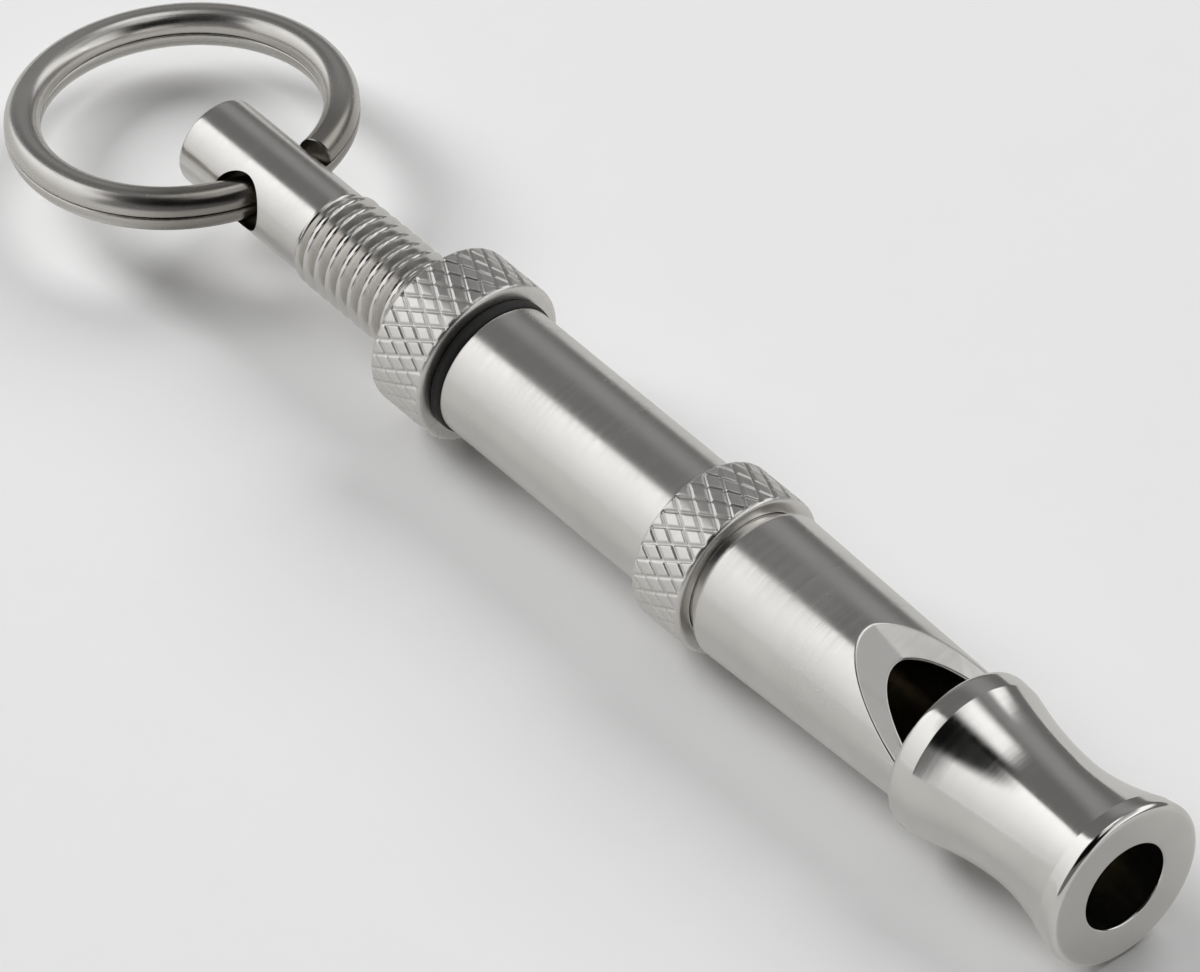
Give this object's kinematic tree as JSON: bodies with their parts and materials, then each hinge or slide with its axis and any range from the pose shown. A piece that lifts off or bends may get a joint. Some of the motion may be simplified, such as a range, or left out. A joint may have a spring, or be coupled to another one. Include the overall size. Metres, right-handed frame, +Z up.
{
  "type": "training whistle",
  "caption": "Adjustable tubular training whistle with a flared mouthpiece, a sound window, a screw-in tuning rod, a knurled lock nut and a split key ring.",
  "frame": {"origin": "centre of the mouth face, on the axis of the whistle", "axes": "+X out of the mouth along the axis of the whistle, +Z up, +Y completing the right-hand frame; the sound window faces up and 9 degrees towards -Y"},
  "size_m": [0.0758, 0.0168, 0.0088],
  "materials": {
    "polished_plating": "polished nickel plating with fine turning marks",
    "plating": "bright nickel plating, lightly worn",
    "knurled_plating": "diamond-knurled nickel plating",
    "spring_steel": "drawn spring steel wire, nickel flashed",
    "turned_brass": "plain turned brass",
    "black_rubber": "matt black rubber"
  },
  "bodies": {
    "whistle_body": {"mouthpiece": "polished_plating", "windway_plug": "turned_brass", "head_tube": "plating", "grip_collar": "knurled_plating", "barrel": "plating", "thread_bush": "turned_brass"},
    "rod_seal": {"piston_seal": "black_rubber"},
    "tuning_rod": {"tuning_rod": "plating", "piston": "turned_brass"},
    "nut_washer": {"lock_washer": "black_rubber"},
    "lock_nut": {"lock_nut": "knurled_plating"},
    "split_ring": {"split_ring": "spring_steel"}
  },
  "joints": [
    {"name": "rod_travel", "type": "slide", "parent": "whistle_body", "child": "rod_seal", "axis": [1, 0, 0], "range_m": [-0.005, 0.004]},
    {"name": "rod_turn", "type": "hinge", "parent": "rod_seal", "child": "tuning_rod", "pos_m": [-0.024, 0, 0], "axis": [1, 0, 0], "range_deg": [-2250, 1800]},
    {"name": "nut_travel", "type": "slide", "parent": "whistle_body", "child": "nut_washer", "axis": [1, 0, 0], "range_m": [-0.004, 0]},
    {"name": "nut_turn", "type": "hinge", "parent": "nut_washer", "child": "lock_nut", "pos_m": [-0.046, 0, 0], "axis": [1, 0, 0], "range_deg": [-1800, 0]},
    {"name": "ring_swing", "type": "hinge", "parent": "tuning_rod", "child": "split_ring", "pos_m": [-0.0599, 0, 0.00013], "axis": [0.0697, 0.9972, -0.0262], "range_deg": [-135, 160]}
  ],
  "couplings": [
    {"joint": "rod_turn", "follows": "rod_travel", "rad_per_m": 7854},
    {"joint": "nut_turn", "follows": "nut_travel", "rad_per_m": 7854}
  ]
}
